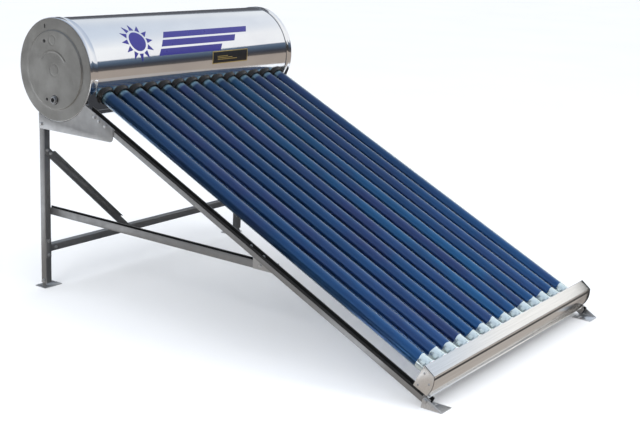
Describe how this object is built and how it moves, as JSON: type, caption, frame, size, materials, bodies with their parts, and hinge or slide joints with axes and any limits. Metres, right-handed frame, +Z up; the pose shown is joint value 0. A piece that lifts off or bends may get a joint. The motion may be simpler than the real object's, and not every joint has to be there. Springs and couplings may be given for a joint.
{
  "type": "solar water heater",
  "caption": "Horizontal insulated storage tank on a braced sloping stand, heated by a row of evacuated glass tubes that run down from it to a tail rail.",
  "frame": {"origin": "on the ground, under the middle of the bounding box", "axes": "+X along the tank to the right as seen from the tubes' side, +Y to the back (from the tubes' lower ends to the tank), +Z up"},
  "size_m": [1.28, 2.0016, 1.1066],
  "materials": {
    "polished_shell": "polished",
    "brushed_cap": "satin",
    "inner_steel": "satin",
    "foam": "matte",
    "coated_glass": "polished",
    "black_rubber": "matte",
    "polished_rail": "polished",
    "rail_end": "satin",
    "port_steel": "satin",
    "zinc_steel": "satin",
    "frame_paint": "satin"
  },
  "bodies": {
    "tank_and_stand": {"crossbar_t_plate_left": "frame_paint", "crossbar_t_plate_right": "frame_paint", "dust_ring_01": "black_rubber", "dust_ring_02": "black_rubber", "dust_ring_03": "black_rubber", "dust_ring_04": "black_rubber", "dust_ring_05": "black_rubber", "dust_ring_06": "black_rubber", "dust_ring_07": "black_rubber", "dust_ring_08": "black_rubber", "dust_ring_09": "black_rubber", "dust_ring_10": "black_rubber", "dust_ring_11": "black_rubber", "dust_ring_12": "black_rubber", "dust_ring_13": "black_rubber", "dust_ring_14": "black_rubber", "foam_insulation": "foam", "front_foot_left_bolt": "zinc_steel", "front_foot_right_bolt": "zinc_steel", "front_rail_left": "frame_paint", "front_rail_right": "frame_paint", "gusset_plate_left": "frame_paint", "gusset_plate_right": "frame_paint", "inner_tank": "inner_steel", "rear_crossbar": "frame_paint", "rear_diagonal_brace": "frame_paint", "rear_foot_left_bolt": "zinc_steel", "rear_foot_right_bolt": "zinc_steel", "rear_leg_left": "frame_paint", "rear_leg_right": "frame_paint", "side_brace_left": "frame_paint", "side_brace_right": "frame_paint", "tail_end_plate_left": "rail_end", "tail_end_plate_right": "rail_end", "tail_rail": "polished_rail", "tank_bracket_left": "frame_paint", "tank_bracket_right": "frame_paint", "tank_end_cap_left": "brushed_cap", "tank_end_cap_right": "brushed_cap", "tank_shell": "polished_shell", "vacuum_tube_01": "coated_glass", "vacuum_tube_02": "coated_glass", "vacuum_tube_03": "coated_glass", "vacuum_tube_04": "coated_glass", "vacuum_tube_05": "coated_glass", "vacuum_tube_06": "coated_glass", "vacuum_tube_07": "coated_glass", "vacuum_tube_08": "coated_glass", "vacuum_tube_09": "coated_glass", "vacuum_tube_10": "coated_glass", "vacuum_tube_11": "coated_glass", "vacuum_tube_12": "coated_glass", "vacuum_tube_13": "coated_glass", "vacuum_tube_14": "coated_glass", "water_port_left": "port_steel", "water_port_right": "port_steel"},
    "rear_foot_left": {"rear_foot_left": "zinc_steel"},
    "rear_foot_right": {"rear_foot_right": "zinc_steel"},
    "front_foot_left": {"front_foot_left": "zinc_steel"},
    "front_foot_right": {"front_foot_right": "zinc_steel"}
  },
  "joints": [
    {"name": "rear_foot_left_tilt", "type": "hinge", "parent": "tank_and_stand", "child": "rear_foot_left", "pos_m": [-0.6207, 0.8837, 0.03], "axis": [1, 0, 0], "range_deg": [-20, 20]},
    {"name": "rear_foot_right_tilt", "type": "hinge", "parent": "tank_and_stand", "child": "rear_foot_right", "pos_m": [0.6207, 0.8837, 0.03], "axis": [1, 0, 0], "range_deg": [-20, 20]},
    {"name": "front_foot_left_tilt", "type": "hinge", "parent": "tank_and_stand", "child": "front_foot_left", "pos_m": [-0.6253, -0.9372, 0.02736], "axis": [1, 0, 0], "range_deg": [-20, 20]},
    {"name": "front_foot_right_tilt", "type": "hinge", "parent": "tank_and_stand", "child": "front_foot_right", "pos_m": [0.6253, -0.9372, 0.02736], "axis": [1, 0, 0], "range_deg": [-20, 20]}
  ]
}
